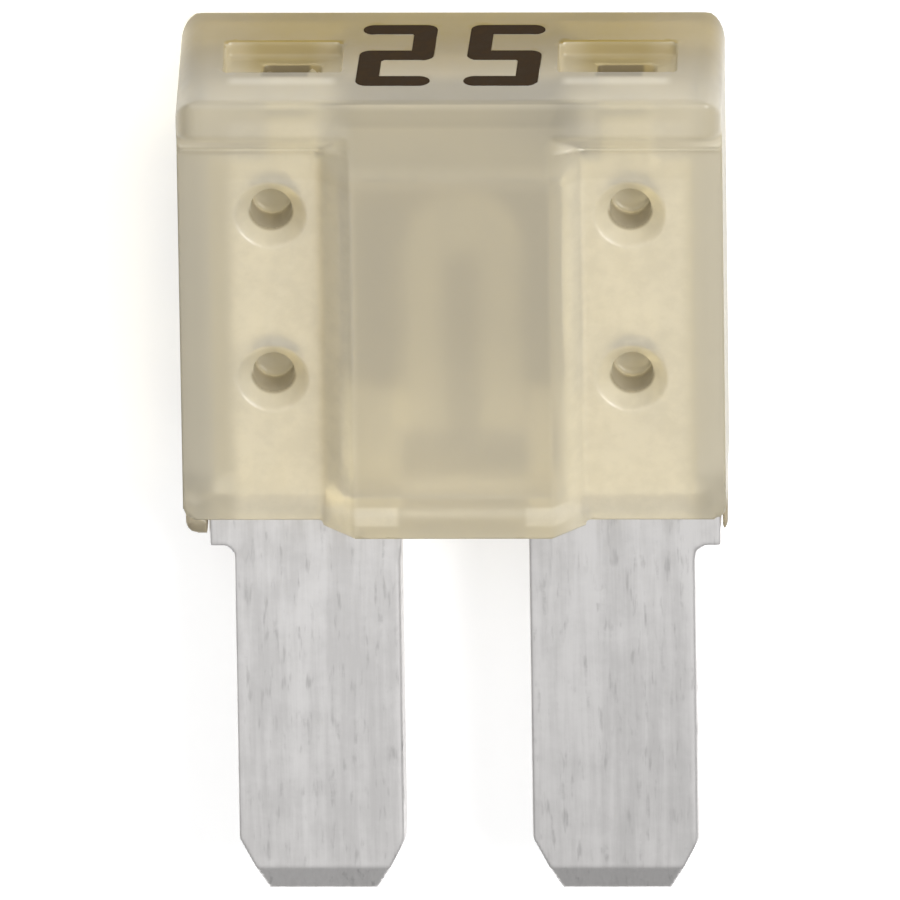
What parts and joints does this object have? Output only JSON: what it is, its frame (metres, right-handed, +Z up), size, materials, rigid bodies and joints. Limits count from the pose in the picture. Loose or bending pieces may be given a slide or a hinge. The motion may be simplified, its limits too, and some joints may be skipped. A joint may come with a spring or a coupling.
{
  "type": "automotive blade fuse",
  "caption": "Small automotive blade fuse: a translucent moulded housing on a stamped metal strip with flat blades and a thin fuse link seen behind a raised window.",
  "frame": {"origin": "centre of the outline on the surface that the fuse lies on, under its back face", "axes": "+Y runs from the blade tips to the numbered end, +Z points up out of the front face, +X runs across both blades"},
  "size_m": [0.0092, 0.0154, 0.0038],
  "materials": {
    "clear_plastic": "natural translucent moulding, satin",
    "plated_strip": "plated sheet metal with a fine rolled grain",
    "ink": "dark stamped ink"
  },
  "bodies": {
    "root": {"housing": "clear_plastic", "fuse_strip": "plated_strip", "rating_number": "ink"}
  },
  "joints": []
}
